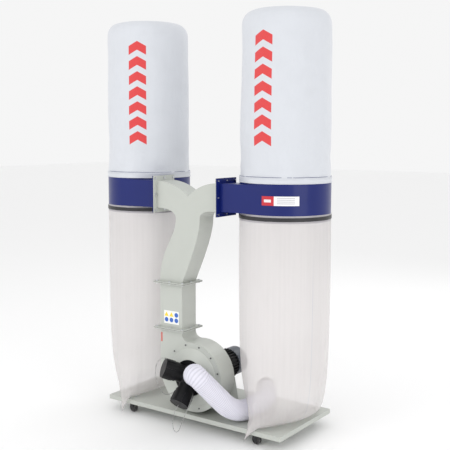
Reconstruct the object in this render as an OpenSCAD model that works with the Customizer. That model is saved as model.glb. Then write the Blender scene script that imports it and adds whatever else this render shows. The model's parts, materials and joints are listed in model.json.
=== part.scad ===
// Twin-bag dust collector: a blower on a wheeled tray lifts chips through a riser and a
// two-way splitter into two drums, each with a filter bag above and a collection bag below.
// +Z is up, +X runs to the right along the tray and -Y is the front. The origin is on the
// floor, midway between the two drums.

/* [Drums] */
// Distance between the two drum centres
column_pitch = 975; // [900:5:1170]
// Outside diameter of each drum
drum_d = 500; // [420:5:600]
// Height of the drum's lower lip above the floor
drum_low = 1211; // [1150:1:1450]
// Height of the drum wall
drum_h = 241; // [225:1:300]
// Sheet thickness of drums and ducts
sheet = 2; // [1:0.5:3]
// Distance of the drum centres behind the origin
drum_y = 52.4; // [44.4:1:64.4]

/* [Bags] */
// Height of the filter bag above the drum
filter_h = 904; // [700:1:1100]
// How much the filter bag tapers from its hem to its shoulder
filter_taper = 9; // [0:1:25]
// Radius of the filter bag's soft shoulder
shoulder_r = 70; // [40:1:100]
// Wall of the bag solids
bag_wall = 4; // [2:0.5:6]
// Depth of the hem that grips the drum from above
hem_h = 36; // [25:1:60]
// Height over which the collection bag flattens to its seam
flatten_h = 570; // [400:10:800]
// Half the length of the collection bag's bottom seam
seam_half = 310; // [260:5:350]
// Sideways lean of the left and right seams
seam_lean = [18, 58];

/* [Tray and casters] */
// Height of the tray's top above the floor
tray_top = 87; // [80:1:110]
// Left end of the tray
tray_left = -585; // [-640:5:-520]
// Right end of the tray
tray_right = 638; // [560:5:700]
// Depth of the tray, front to back
tray_depth = 554; // [480:2:640]
// Height of the tray's folded rim
tray_rim = 26; // [20:1:40]
// Sheet thickness of the tray
tray_t = 2.5; // [1.5:0.5:4]
// Distance of the casters left and right of the centre
caster_x = 445; // [400:5:480]
// Distance of the casters in front of and behind the drum line
caster_y = 235; // [200:5:240]
// Radius of a caster wheel
wheel_r = 26; // [20:1:30]
// Width of a caster wheel
wheel_w = 20; // [16:1:24]
// Distance of the wheel's axle behind its swivel
trail = 20; // [12:1:24]

/* [Blower] */
// Sideways place of the blower shaft
blower_x = 38; // [20:1:60]
// Height of the blower shaft
shaft_z = 303; // [295:1:340]
// Radius of the scroll at its cut-off
scroll_r = 198; // [190:1:200]
// Distance from the shaft to the neck's outer wall
neck_reach = 234.5; // [230:0.5:245]
// Width of the neck and riser, left to right
duct_w = 158.5; // [140:0.5:175]
// Depth of the housing and of all ducts, front to back
duct_depth = 129; // [110:1:150]
// Sheet thickness of the blower housing
housing_t = 3; // [2:0.5:4]
// Radius of the housing's inlet opening
inlet_r = 165; // [150:1:172]
// Radius of the screw circle around the inlet cover
cover_screw_r = 183; // [180:1:186]
// Radius of the inlet cover's rim
cover_r = 195; // [192:1:197]
// How far the inlet cover stands out in front
cover_rise = 28; // [20:1:36]
// Radius of the impeller
impeller_r = 150; // [130:1:155]
// Number of impeller blades
blades = 8; // [6:1:10]
// Radius of the motor shaft
shaft_r = 12; // [10:0.5:14]

/* [Inlet ports] */
// Outside radius of each inlet port
port_r = 50; // [45:1:52]
// Wall of each inlet port
port_wall = 3; // [2:0.5:4]
// Length of a port from where the three axes meet
port_len = 175; // [165:1:190]
// Angle between each port and the shaft line
splay = 45; // [42:1:50]
// Wall of a port cap
cap_wall = 4; // [2.5:0.5:5]
// How much of a port is inside its cap
cap_grip = 74; // [50:1:76]
// Outside radius of the flexible hose
hose_r = 58; // [56:1:59]
// Inside radius of the flexible hose
hose_bore_r = 53.5; // [53:0.5:54]
// Radius of the opening in the hose's free cuff
cuff_bore_r = 50.5; // [48:0.5:52]
// Length of the hose's free cuff
cuff_len = 60; // [40:1:80]
// Radius of a cap's tether wire
wire_r = 1.5; // [1:0.25:2]

/* [Riser and splitter] */
// Height of the joint between neck and riser
neck_top = 560; // [540:1:600]
// Height of the joint between riser and splitter
riser_top = 827; // [780:1:860]
// Width of the flanges around every duct joint
flange_w = 28; // [20:1:32]
// Thickness of a duct flange
flange_t = 4; // [3:0.5:6]
// Thickness of a duct gasket
gasket_t = 2; // [1:0.5:4]
// Distance of the drum joints left and right of the centre
branch_x = 221; // [215:1:228]
// Lower edge of the inlet boxes, above the drum's lower lip
box_rise = 44; // [36:1:60]
// Height of the inlet boxes
box_h = 154; // [140:1:160]
// Radius of a flange bolt
bolt_r = 4; // [3:0.5:5]

/* [Motor] */
// Radius of the motor frame over its fins
motor_r = 88; // [80:1:90]
// Radius of the motor frame under its fins
frame_r = 74; // [68:1:76]
// Length of the finned frame
frame_len = 210; // [160:5:230]
// Number of cooling fins
fins = 28; // [16:2:36]
// Length of the fan cowl
cowl_len = 84; // [75:1:100]
// Radius of the rotor core
rotor_r = 41; // [36:1:44]

/* [Hidden] */
$fn = 96;

drum_r = drum_d / 2;
left_x = -column_pitch / 2;
right_x = column_pitch / 2;
drum_top = drum_low + drum_h;
front_y = drum_y - drum_r;              // one plane for housing, ducts and drum fronts
back_y = front_y + duct_depth;
stand_t = 4;
stand_y = back_y + stand_t;             // rear face of the motor stand
neck_left = blower_x - neck_reach;
neck_right = neck_left + duct_w;
box_low = drum_low + box_rise;
box_top = box_low + box_h;
skin = 0.1;                             // gap between a bag and the drum it grips
hem_r = drum_r + skin + 1.9;
collar_r = drum_r + skin + 1;
collar_h = box_rise - 2;                // the film ends just under the inlet box
belt_r = collar_r + 0.1;
belt_w = 20;
belt_z = drum_low + 11;
belt_t = 2.8;
seam_z = tray_top + 5;
fit = 0.05;                             // radial clearance of a running fit
caster_places = [[-caster_x, drum_y - caster_y], [caster_x, drum_y - caster_y],
    [-caster_x, drum_y + caster_y], [caster_x, drum_y + caster_y]];
caster_bolt_step = 44;
m6_r = 3;
tray_low = tray_top - tray_t;

// A turned or bored shape whose axis is the shaft line, starting at y and going back
module along_shaft(y) translate([blower_x, y, shaft_z]) rotate([-90, 0, 0]) children();

// Local +Z leads out of the inlet port that points at the given clock angle
module along_port(a)
    translate([blower_x, front_y, shaft_z]) rotate([0, -a, 0])
        rotate([0, 0, splay]) rotate([90, 0, 0]) children();

module tube(outer, inner, h)
    difference() {
        cylinder(r = outer, h = h);
        translate([0, 0, -1]) cylinder(r = inner, h = h + 2);
    }

// An X-Z outline given thickness from y0 back to y1
module slab(y0, y1, points)
    translate([0, y1, 0]) rotate([90, 0, 0])
        linear_extrude(height = y1 - y0) polygon(points);

module bolt(r, head_r, head_h, length) {
    translate([0, 0, -length]) cylinder(r = r, h = length + 0.5);
    cylinder(r = head_r, h = head_h, $fn = 6);
}

// A sprung curve between two points with two handles
function bezier(a, b, c, d, n) = [for (i = [0:n]) let (t = i / n, s = 1 - t)
    s * s * s * a + 3 * s * s * t * b + 3 * s * t * t * c + t * t * t * d];

/* ---- tray and casters ---- */

module base_tray() color([0.81, 0.82, 0.79])
    difference() {
        translate([tray_left, drum_y - tray_depth / 2, tray_top - tray_rim])
            cube([tray_right - tray_left, tray_depth, tray_rim]);
        translate([tray_left + tray_t, drum_y - tray_depth / 2 + tray_t, tray_top - tray_rim - 1])
            cube([tray_right - tray_left - 2 * tray_t, tray_depth - 2 * tray_t,
                tray_rim - tray_t + 1]);
        for (p = caster_places) translate([p[0], p[1], tray_low - 1]) caster_holes(tray_t + 2);
        for (p = stand_feet) translate([p[0], p[1], tray_low - 1])
            cylinder(r = 5 + fit, h = tray_t + 2);
    }

module caster_holes(h)
    for (x = [-0.5, 0.5], y = [-0.5, 0.5])
        translate([x * caster_bolt_step, y * caster_bolt_step, 0])
            cylinder(r = m6_r + fit, h = h);

plate_t = 3;
plate_z = tray_low - plate_t;
race_z = plate_z - 8;
pin_r = 5;
fork_gap = 0.3;
fork_t = 3;
fork_top = race_z - fork_gap;
fork_z = fork_top - fork_t;
nut_z = fork_z - fork_gap - 4;
leg_t = 2.5;
leg_in = wheel_w / 2 + 1.2;
axle_r = 4;

module caster_plates() color([0.12, 0.12, 0.13])
    for (p = caster_places) translate([p[0], p[1], 0]) {
        difference() {
            translate([-30, -30, plate_z]) cube([60, 60, plate_t]);
            translate([0, 0, plate_z - 1]) caster_holes(plate_t + 2);
        }
        translate([0, 0, race_z]) cylinder(r = 17, h = plate_z - race_z);
        translate([0, 0, nut_z]) cylinder(r = pin_r, h = race_z - nut_z);
        translate([0, 0, nut_z]) cylinder(r = 8.5, h = 4);
    }

module base_bolts() color([0.2, 0.2, 0.21])
    for (p = caster_places, x = [-0.5, 0.5], y = [-0.5, 0.5])
        translate([p[0] + x * caster_bolt_step, p[1] + y * caster_bolt_step, tray_top])
            bolt(m6_r, 5.5, 4, tray_t + plate_t + 5);

module caster_fork(i) color([0.16, 0.16, 0.17])
    translate([caster_places[i][0], caster_places[i][1], 0]) {
        difference() {
            union() {
                translate([0, 0, fork_z]) cylinder(r = 18, h = fork_t);
                translate([-14, -leg_in - leg_t, fork_z])
                    cube([30, 2 * (leg_in + leg_t), fork_t]);
            }
            translate([0, 0, fork_z - 1]) cylinder(r = pin_r + fit, h = fork_t + 2);
        }
        for (y = [-leg_in - leg_t, leg_in])
            difference() {
                slab(y, y + leg_t, [[-14, fork_z + 1], [16, fork_z + 1],
                    [trail + 9, wheel_r - 2], [trail + 5, wheel_r - 9],
                    [trail - 5, wheel_r - 9], [trail - 9, wheel_r - 2]]);
                translate([trail, y - 1, wheel_r]) rotate([-90, 0, 0])
                    cylinder(r = axle_r, h = leg_t + 2);
            }
        translate([trail, -leg_in - leg_t - 1.5, wheel_r]) rotate([-90, 0, 0])
            cylinder(r = axle_r, h = 2 * (leg_in + leg_t) + 3);
    }

module caster_wheel(i) color([0.1, 0.1, 0.11])
    translate([caster_places[i][0] + trail, caster_places[i][1] - wheel_w / 2, wheel_r])
        rotate([-90, 0, 0]) rotate_extrude()
            polygon([[axle_r + fit, 0], [10, 0], [11, 3], [wheel_r - 6, 3], [wheel_r - 5, 1],
                [wheel_r - 1.5, 1], [wheel_r, 2.5], [wheel_r, wheel_w - 2.5],
                [wheel_r - 1.5, wheel_w - 1], [wheel_r - 5, wheel_w - 1],
                [wheel_r - 6, wheel_w - 3], [11, wheel_w - 3], [10, wheel_w],
                [axle_r + fit, wheel_w]]);

/* ---- motor stand ---- */

foot_half = 244;
foot_depth = 150;
stand_feet = [for (x = [-215, 215], y = [20, foot_depth - 20]) [blower_x + x, stand_y + y]];
stand_hole_r = 60;
motor_bolt_r = 85;

module stand_outline_plate()
    slab(back_y, stand_y, [for (p = [[-foot_half, 0], [foot_half, 0], [200, shaft_z - tray_top],
        [120, shaft_z + 37], [-120, shaft_z + 37], [-200, shaft_z - tray_top]])
        [blower_x + p[0], tray_top + p[1]]]);

module motor_stand() color([0.79, 0.80, 0.77])
    difference() {
        union() {
            stand_outline_plate();
            translate([blower_x - foot_half, back_y, tray_top])
                cube([2 * foot_half, foot_depth, stand_t]);
            for (x = [-152, 148]) translate([blower_x + x + 4, 0, 0]) mirror([1, 0, 0])
                rotate([0, -90, 0]) linear_extrude(height = 4)
                    polygon([[tray_top, stand_y - 1], [tray_top, stand_y + foot_depth - 30],
                        [shaft_z - 20, stand_y - 1]]);
        }
        along_shaft(back_y - 1) cylinder(r = stand_hole_r, h = stand_t + 2);
        for (a = [45:90:315]) along_shaft(back_y - 1) rotate([0, 0, a])
            translate([motor_bolt_r, 0, 0]) cylinder(r = 5 + fit, h = stand_t + 2);
        for (p = stand_feet) translate([p[0], p[1], tray_top - 1])
            cylinder(r = 5 + fit, h = stand_t + 2);
    }

module stand_bolts() color([0.25, 0.25, 0.26])
    for (p = stand_feet) translate([p[0], p[1], tray_top + stand_t])
        bolt(5, 9, 6, stand_t + tray_t + 8);

/* ---- blower ---- */

cutoff_a = -7.5;
scroll_grow = neck_reach - scroll_r;
function scroll_at(a, inset) = let (
    r = scroll_r - inset + scroll_grow * pow(max(a, 0) / 270, 3.5))
    [blower_x + r * sin(a), shaft_z + r * cos(a)];
// From the scroll's cut-off round to the neck, closed by a soft fillet under the flange
function scroll_points(inset, top) = let (
    tongue = scroll_at(cutoff_a, inset), x = neck_right - inset) concat(
    [for (a = [cutoff_a:7.5:270]) scroll_at(a, inset)],
    [[neck_left + inset, top], [x, top]],
    bezier([x, tongue[1] + 38], [x, tongue[1] + 12], tongue - [24, 3], tongue - [0.5, 0.07], 8));

module rect_flange_z(z, h)
    difference() {
        translate([neck_left - flange_w, front_y - flange_w, z])
            cube([duct_w + 2 * flange_w, duct_depth + 2 * flange_w, h]);
        translate([neck_left + 1, front_y + 1, z - 1])
            cube([duct_w - 2, duct_depth - 2, h + 2]);
    }

bolt_in = flange_w / 2;
flange_xs = [neck_left - bolt_in, (neck_left + neck_right) / 2, neck_right + bolt_in];
flange_ys = [front_y - bolt_in, (front_y + back_y) / 2, back_y + bolt_in];
ring8 = [[0, 0], [1, 0], [2, 0], [0, 1], [2, 1], [0, 2], [1, 2], [2, 2]];
module flange_holes_z(z, h)
    for (k = ring8) translate([flange_xs[k[0]], flange_ys[k[1]], z - 1])
        cylinder(r = bolt_r + fit, h = h + 2);

module blower_housing() color([0.80, 0.82, 0.79])
    difference() {
        union() {
            slab(front_y, back_y, scroll_points(0, neck_top));
            rect_flange_z(neck_top - flange_t, flange_t);
        }
        slab(front_y + housing_t, back_y - housing_t, scroll_points(housing_t, neck_top + 1));
        along_shaft(front_y - 1) cylinder(r = inlet_r, h = housing_t + 2);
        along_shaft(back_y - housing_t - 1) cylinder(r = 40, h = housing_t + 2);
        flange_holes_z(neck_top - flange_t, flange_t);
        for (a = [15:30:345]) along_shaft(front_y - 1) rotate([0, 0, a])
            translate([cover_screw_r, 0, 0]) cylinder(r = m6_r + fit, h = housing_t + 2);
    }

throat_r = 68;
cover_flat_r = 104;
cover_t = 2.5;

module inlet_cover() color([0.79, 0.81, 0.77])
    along_shaft(front_y) mirror([0, 0, 1])
        difference() {
            rotate_extrude() polygon([[inlet_r - 10, 0], [cover_r, 0], [cover_r, cover_t],
                [inlet_r - 1, cover_t], [inlet_r - 4, cover_t + 3],
                [cover_flat_r, cover_rise], [throat_r + 2, cover_rise],
                [throat_r + 2, cover_rise - cover_t], [cover_flat_r - 1, cover_rise - cover_t],
                [inlet_r - 10, 1.5]]);
            for (a = [15:30:345]) rotate([0, 0, a]) translate([cover_screw_r, 0, -1])
                cylinder(r = m6_r + fit, h = cover_t + 2);
        }

module cover_screws() color([0.3, 0.3, 0.31])
    for (a = [15:30:345]) along_shaft(front_y) rotate([0, 0, a])
        translate([cover_screw_r, 0, -cover_t]) mirror([0, 0, 1])
            bolt(m6_r, 5, 3.5, cover_t + housing_t + 4);

PORTS = [150, 270, 30];

module ports(r, dome, h)
    union() {
        for (a = PORTS) along_port(a) cylinder(r = r, h = h);
        translate([blower_x, front_y, shaft_z]) sphere(r = dome);
    }

module ahead_of(y)
    translate([blower_x - 300, y - 400, shaft_z - 300]) cube([600, 400, 600]);

manifold_y = front_y - cover_rise;
manifold_t = 5;
module inlet_manifold() color([0.08, 0.08, 0.09])
    difference() {
        union() {
            along_shaft(manifold_y - manifold_t) cylinder(r = cover_flat_r - 1, h = manifold_t);
            along_shaft(manifold_y - 1) cylinder(r = throat_r + 1.5, h = 7);
            intersection() {
                ports(port_r, 84, port_len);
                ahead_of(manifold_y - 1);
            }
        }
        intersection() {
            ports(port_r - port_wall, 81, port_len + 1);
            ahead_of(manifold_y - 3);
        }
        along_shaft(manifold_y - manifold_t - 1) cylinder(r = throat_r - 2, h = manifold_t + 9);
    }

cap_start = port_len + 1 - cap_grip;
module port_cap(a) color([0.07, 0.07, 0.08])
    along_port(a) {
        difference() {
            translate([0, 0, cap_start])
                cylinder(r = port_r + 0.4 + cap_wall, h = cap_grip + cap_wall);
            translate([0, 0, cap_start - 1]) cylinder(r = port_r + 0.4, h = cap_grip + 1);
        }
        for (k = [0:45:315]) rotate([0, 0, k])
            translate([port_r + cap_wall, -4, cap_start + 18])
                cube([3, 8, cap_grip + cap_wall - 24]);
    }

// Round wire or hollow hose swept along a route, with a ring at every route point
function unit(v) = v / norm(v);
function direction(p, i) = unit(p[min(i + 1, len(p) - 1)] - p[max(i - 1, 0)]);
function side(d) = unit(cross(d, abs(d[2]) > 0.9 ? [0, 1, 0] : [0, 0, 1]));
// Carries the ring's side along the route without twist
function carried(p, i) = i == 0 ? side(direction(p, 0)) :
    let (s = carried(p, i - 1), d = direction(p, i)) unit(s - (s * d) * d);
function rings(p, r, n) = [for (i = [0:len(p) - 1])
    let (d = direction(p, i), s = carried(p, i), u = cross(d, s))
    for (k = [0:n - 1]) p[i] + r * (cos(k * 360 / n) * s + sin(k * 360 / n) * u)];
// Triangles between neighbouring rings, facing away from or towards the route
function wall(rows, n, first, inward) = [for (i = [0:rows - 2], k = [0:n - 1])
    let (a = first + i * n + k, b = first + i * n + (k + 1) % n)
    each inward ? [[a, b, b + n], [a, b + n, a + n]] : [[a, b + n, b], [a, a + n, b + n]]];
function count_up(first, n) = [for (k = [0:n - 1]) first + k];
function count_down(first, n) = [for (k = [n - 1:-1:0]) first + k];

module wire(p, r, n)
    polyhedron(rings(p, r, n), concat([count_up(0, n)], wall(len(p), n, 0, false),
        [count_down((len(p) - 1) * n, n)]));

module pipe(p, outer, inner, n) {
    rows = len(p);
    second = rows * n;
    last = (rows - 1) * n;
    polyhedron(concat(rings(p, outer, n), rings(p, inner, n)), concat(
        wall(rows, n, 0, false),
        wall(rows, n, second, true),
        [for (k = [0:n - 1]) let (m = (k + 1) % n) [k, m, second + m, second + k]],
        [for (k = [0:n - 1]) let (m = (k + 1) % n)
            [last + m, last + k, second + last + k, second + last + m]]));
}

// Route points are given from the drum line, so a route moves with the drums
function behind_drums(route) = [for (p = route) p + [0, drum_y, 0]];
HOSE_ROUTE = behind_drums([[110, -333, 345], [128, -353, 355], [146, -374, 365],
    [166, -396, 374], [190, -412, 373], [213, -412, 358], [233, -394, 330], [252, -376, 302],
    [271, -356, 272], [289, -333, 241], [301, -308, 212], [311, -278, 187], [321, -243, 167],
    [332, -204, 153], [340, -160, 147], [345, -110, 146], [345, -50, 146], [342, -4, 146],
    [333, 40, 146], [319, 83, 146], [301, 123, 146], [279, 160, 146], [258, 189, 146],
    [240, 213, 146]]);
TETHER_LEFT = behind_drums([[-62, -364, 421], [-74, -385, 424], [-88, -402, 408],
    [-98, -410, 380], [-102, -412, 350], [-99, -408, 310], [-90, -400, 270], [-80, -388, 236],
    [-66, -372, 214], [-50, -352, 212], [-34, -328, 224], [-14, -312, 241]]);
TETHER_LOWER = behind_drums([[38, -378, 175], [37, -388, 166], [32, -400, 150],
    [25, -408, 120], [21, -411, 90], [22, -411, 60], [30, -411, 36], [44, -410, 28],
    [60, -408, 38], [74, -405, 70], [86, -398, 110], [98, -384, 150], [104, -362, 190],
    [102, -338, 222], [90, -318, 238]]);

module cap_tether_left() color([0.45, 0.45, 0.46]) wire(TETHER_LEFT, wire_r, 8);
module cap_tether_lower() color([0.45, 0.45, 0.46]) wire(TETHER_LOWER, wire_r, 8);

module hose() color([0.87, 0.87, 0.91]) pipe(HOSE_ROUTE, hose_r, hose_bore_r, 12);

module hose_clamp() color([0.7, 0.7, 0.72])
    along_port(30) translate([0, 0, 126]) {
        tube(hose_r + 2, hose_r + 0.4, 12);
        translate([hose_r + 1, -7, 0]) cube([12, 14, 12]);
    }

module hose_cuff() color([0.1, 0.1, 0.11]) let (
    last = len(HOSE_ROUTE) - 1, ahead = direction(HOSE_ROUTE, last))
    translate(HOSE_ROUTE[last]) rotate([0, 90, atan2(ahead[1], ahead[0])])
        tube(hose_r - 0.5, cuff_bore_r, cuff_len);

/* ---- impeller and motor ---- */

disc_y = back_y - housing_t - 14;
module impeller() color([0.55, 0.56, 0.58])
    difference() {
        union() {
            along_shaft(disc_y) cylinder(r = impeller_r, h = 4);
            along_shaft(disc_y - 40) cylinder(r = 30, h = 52);
            for (i = [0:blades - 1]) along_shaft(disc_y - 70) rotate([0, 0, i * 360 / blades])
                linear_extrude(height = 71) polygon([[28, -4], [90, -14], [impeller_r - 2, -40],
                    [impeller_r - 4, -44], [88, -18], [28, -8]]);
        }
        along_shaft(disc_y - 80) cylinder(r = shaft_r, h = 120);
    }

nose_y = disc_y - 40;
module impeller_bolt() color([0.4, 0.4, 0.42])
    along_shaft(nose_y) {
        translate([0, 0, -3]) cylinder(r = 20, h = 3);
        translate([0, 0, -11]) cylinder(r = 10, h = 8, $fn = 6);
    }

frame_y = stand_y + 12;
rear_y = frame_y + frame_len;
tail_y = rear_y + 12;
motor_end = rear_y + cowl_len - 4;

module motor_frame() color([0.13, 0.13, 0.14])
    along_shaft(frame_y) difference() {
        union() {
            cylinder(r = frame_r, h = frame_len);
            for (i = [0:fins - 1]) rotate([0, 0, i * 360 / fins])
                translate([frame_r - 2, -1.5, 4]) cube([motor_r - frame_r + 2, 3, frame_len - 8]);
            translate([-motor_r - 1, -44, 45]) cube([25, 88, 110]);
        }
        translate([0, 0, -1]) cylinder(r = frame_r - 7, h = frame_len + 2);
    }

module motor_front_shield() color([0.15, 0.15, 0.16])
    difference() {
        union() {
            along_shaft(stand_y) cylinder(r = 100, h = 12);
            along_shaft(back_y) cylinder(r = stand_hole_r - fit, h = stand_t + 1);
        }
        along_shaft(back_y - 2) cylinder(r = shaft_r + 2, h = 30);
        along_shaft(stand_y - 2) cylinder(r = 26, h = 20);
        for (a = [45:90:315]) along_shaft(stand_y - 1) rotate([0, 0, a])
            translate([motor_bolt_r, 0, 0]) cylinder(r = 5 + fit, h = 14);
    }

module motor_bolts() color([0.3, 0.3, 0.31])
    for (a = [45:90:315]) along_shaft(stand_y + 12) rotate([0, 0, a])
        translate([motor_bolt_r, 0, 0]) bolt(5, 8.5, 6, 12 + stand_t - 1);

module motor_rear_shield() color([0.15, 0.15, 0.16])
    along_shaft(rear_y) difference() {
        cylinder(r = frame_r + 2, h = 12);
        translate([0, 0, -1]) cylinder(r = 21, h = 14);
    }

module stator_core() color([0.5, 0.42, 0.3])
    along_shaft(frame_y + 45) tube(frame_r - 7, rotor_r + 1, 110);

module rotor_core() color([0.6, 0.6, 0.62])
    along_shaft(frame_y + 45) tube(rotor_r, shaft_r, 110);

module motor_shaft() color([0.72, 0.72, 0.74])
    along_shaft(nose_y) cylinder(r = shaft_r, h = tail_y + 42 - nose_y);

module ball_bearing(outer, h)
    difference() {
        cylinder(r = outer, h = h);
        translate([0, 0, -1]) cylinder(r = shaft_r + fit, h = h + 2);
    }
module bearing_front() color([0.66, 0.67, 0.7])
    along_shaft(stand_y - 2) ball_bearing(26, 14);
module bearing_rear() color([0.66, 0.67, 0.7])
    along_shaft(rear_y - 1) ball_bearing(21, 12);

module cooling_fan() color([0.2, 0.2, 0.22])
    along_shaft(tail_y + 10) difference() {
        union() {
            cylinder(r = 22, h = 24);
            cylinder(r = 62, h = 2.5);
            for (i = [0:6]) rotate([0, 0, i * 360 / 7])
                translate([20, -1.5, 1]) cube([44, 3, 22]);
        }
        translate([0, 0, -1]) cylinder(r = shaft_r, h = 30);
    }

module fan_cowl() color([0.30, 0.33, 0.38])
    along_shaft(rear_y - 4) difference() {
        cylinder(r = motor_r - 4, h = cowl_len);
        translate([0, 0, 6]) cylinder(r = motor_r - 6, h = cowl_len - 8);
        translate([0, 0, -1]) cylinder(r = frame_r + 2, h = 20);
        for (a = [0:30:330], r = [24, 40, 56]) rotate([0, 0, a + r])
            translate([r, 0, cowl_len - 5]) cylinder(r = 4.5, h = 10);
    }

// Turns what is drawn above the shaft round to the motor's left side
module beside_shaft()
    translate([blower_x, 0, shaft_z]) rotate([0, -90, 0])
        translate([-blower_x, 0, -shaft_z]) children();

box_y = frame_y + 45;
box_base = shaft_z + motor_r + 1;
box_up = 40;
module terminal_box() color([0.14, 0.14, 0.15])
    beside_shaft() difference() {
        union() {
            translate([blower_x - 44, box_y, box_base]) cube([88, 110, box_up]);
            translate([blower_x - 47, box_y - 3, box_base + box_up]) cube([94, 116, 6]);
        }
        translate([blower_x - 40, box_y + 4, box_base + 4]) cube([80, 102, box_up - 4]);
        translate([blower_x - 60, box_y + 80, box_base + 20]) rotate([0, 90, 0])
            cylinder(r = 8, h = 25);
    }

module cable_gland() color([0.05, 0.05, 0.06])
    beside_shaft() translate([blower_x - 40, box_y + 80, box_base + 20]) rotate([0, -90, 0])
        difference() {
            union() {
                cylinder(r = 8, h = 6);
                translate([0, 0, 4]) cylinder(r = 12, h = 7, $fn = 6);
                translate([0, 0, 11]) cylinder(r = 10, h = 13);
            }
            translate([0, 0, -1]) cylinder(r = 5, h = 27);
        }

switch_z = box_base + box_up + 6;
switch_d = 46;
button_r = 11;
button_y = box_y + 30 + switch_d;
module switch_box() color([0.2, 0.2, 0.22])
    beside_shaft() difference() {
        translate([blower_x - 40, box_y + 30, switch_z]) cube([80, switch_d, 56]);
        translate([blower_x - 37, box_y + 33, switch_z + 3]) cube([74, switch_d - 6, 50]);
        for (x = [-18, 18]) translate([blower_x + x, button_y - 5, switch_z + 28])
            rotate([-90, 0, 0]) cylinder(r = button_r + 0.4, h = 8);
    }

module button(x, proud)
    beside_shaft() translate([blower_x + x, button_y - 6, switch_z + 28]) rotate([-90, 0, 0]) {
        cylinder(r = button_r, h = 6 + proud);
        translate([0, 0, -1]) cylinder(r = button_r + 3, h = 3.95);
    }
module start_button() color([0.1, 0.5, 0.2]) button(-18, 3);
module stop_button() color([0.8, 0.1, 0.1]) button(18, 6);

/* ---- riser and splitter ---- */

riser_low = neck_top + gasket_t;
splitter_low = riser_top + gasket_t;

module riser_duct() color([0.81, 0.83, 0.79])
    difference() {
        union() {
            translate([neck_left, front_y, riser_low])
                cube([duct_w, duct_depth, riser_top - riser_low]);
            rect_flange_z(riser_low, flange_t);
            rect_flange_z(riser_top - flange_t, flange_t);
        }
        translate([neck_left + sheet, front_y + sheet, riser_low - 1])
            cube([duct_w - 2 * sheet, duct_depth - 2 * sheet, riser_top - riser_low + 2]);
        flange_holes_z(riser_low, flange_t);
        flange_holes_z(riser_top - flange_t, flange_t);
    }

// Outline of the splitter: an S-bend that rises into two level branches
throat_left = -79;
throat_right = 89;
bend_z = drum_low - 18;
crotch = [7, box_low + 74];
function splitter_outline(c, s) = let (
    l = neck_left + c, r = neck_right - c, lo = box_low + c, hi = box_top - c,
    tl = throat_left + c, tr = throat_right - c, z0 = splitter_low - s, x = branch_x - 5 + s)
    concat(
        bezier([r, z0], [r + 40, z0 + 96], [tr, bend_z - 95], [tr, bend_z + 10], 12),
        bezier([tr, bend_z + 12], [tr, lo - 14], [tr + 30, lo], [x, lo], 8),
        [[x, hi]],
        bezier([x - 8 - s, hi], [tr + 30, hi - 2], [crotch[0] + 53, crotch[1] + 46 - c],
            [crotch[0], crotch[1] - 1.4 * c], 8),
        bezier([crotch[0] - 1, crotch[1] - 1.4 * c], [crotch[0] - 54, crotch[1] + 46 - c],
            [tl - 42, hi - 2], [8 + s - x, hi], 8),
        [[-x, hi], [-x, lo]],
        bezier([-x + 1, lo], [tl - 42, lo], [tl, lo - 18], [tl, bend_z + 2], 8),
        bezier([tl, bend_z], [tl - 2, bend_z - 100], [l - 3, z0 + 180], [l, z0], 12));

module side_flange(x, t)
    difference() {
        translate([x, front_y - flange_w, box_low - flange_w])
            cube([t, duct_depth + 2 * flange_w, box_h + 2 * flange_w]);
        translate([x - 1, front_y + 1, box_low + 1])
            cube([t + 2, duct_depth - 2, box_h - 2]);
    }

side_zs = [box_low - bolt_in, box_low + box_h / 2, box_top + bolt_in];
module side_holes(x, t)
    for (k = ring8) translate([x - 1, flange_ys[k[0]], side_zs[k[1]]]) rotate([0, 90, 0])
        cylinder(r = bolt_r + fit, h = t + 2);

module splitter() color([0.81, 0.83, 0.79])
    difference() {
        union() {
            slab(front_y, back_y, splitter_outline(0, 0));
            rect_flange_z(splitter_low, flange_t);
            side_flange(branch_x - gasket_t / 2 - flange_t, flange_t);
            side_flange(-branch_x + gasket_t / 2, flange_t);
        }
        slab(front_y + sheet, back_y - sheet, splitter_outline(sheet, 2));
        for (s = [-1, 1]) translate([s * (branch_x - 6) - 8, front_y + sheet, box_low + sheet])
            cube([16, duct_depth - 2 * sheet, box_h - 2 * sheet]);
        flange_holes_z(splitter_low, flange_t);
        side_holes(branch_x - gasket_t / 2 - flange_t, flange_t);
        side_holes(-branch_x + gasket_t / 2, flange_t);
    }

module duct_gaskets() color([0.15, 0.15, 0.15]) {
    for (z = [neck_top, riser_top]) difference() {
        rect_flange_z(z, gasket_t);
        flange_holes_z(z, gasket_t);
    }
    for (s = [-1, 1]) difference() {
        side_flange(s * branch_x - gasket_t / 2, gasket_t);
        side_holes(s * branch_x - gasket_t / 2, gasket_t);
    }
}

joint_t = 2 * flange_t + gasket_t;
module flange_bolts() color([0.75, 0.75, 0.76]) {
    for (z = [neck_top + gasket_t + flange_t, riser_top + gasket_t + flange_t], k = ring8)
        translate([flange_xs[k[0]], flange_ys[k[1]], z]) bolt(bolt_r, 7, 5, joint_t + 6);
    for (s = [-1, 1], k = ring8)
        translate([s * (branch_x - gasket_t / 2 - flange_t), flange_ys[k[0]], side_zs[k[1]]])
            rotate([0, -90 * s, 0]) bolt(bolt_r, 7, 5, joint_t + 6);
}

/* ---- drums and bags ---- */

module drum(cx, s) color([0.13, 0.19, 0.5])
    difference() {
        union() {
            translate([cx, drum_y, drum_low]) cylinder(r = drum_r, h = drum_h, $fn = 180);
            slab_box(cx, s, 0, 0);
            side_flange(s * (branch_x + gasket_t / 2 + flange_t / 2) - flange_t / 2, flange_t);
        }
        translate([cx, drum_y, drum_low - 1])
            cylinder(r = drum_r - sheet, h = drum_h + 2, $fn = 180);
        slab_box(cx, s, sheet, 5);
        side_holes(s * (branch_x + gasket_t / 2 + flange_t / 2) - flange_t / 2, flange_t);
    }

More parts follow.
